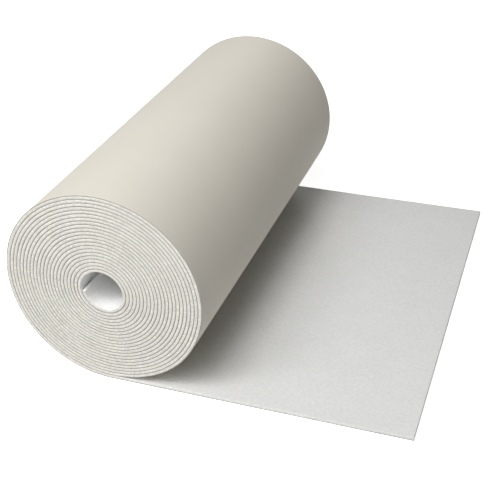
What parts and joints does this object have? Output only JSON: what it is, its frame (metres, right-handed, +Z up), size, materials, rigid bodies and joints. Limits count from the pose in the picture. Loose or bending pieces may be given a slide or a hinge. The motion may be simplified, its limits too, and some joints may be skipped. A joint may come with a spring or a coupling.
{
  "type": "polystyrene insulation wallpaper roll",
  "caption": "Roll of card-faced polystyrene foam insulation wallpaper lying on its side, with an open bore and its outer end unrolled flat on the floor.",
  "frame": {"origin": "on the floor, under the middle of the whole object's bounding box", "axes": "+Y along the roll's axis from its front end to its back end, +X the way the outer end unrolls, +Z up"},
  "size_m": [0.4487, 0.5, 0.2274],
  "materials": {
    "foam": "matte, fine bead grain",
    "card_facing": "matte, smooth uncoated card"
  },
  "bodies": {
    "root": {"wallpaper_roll": "foam"}
  },
  "joints": []
}
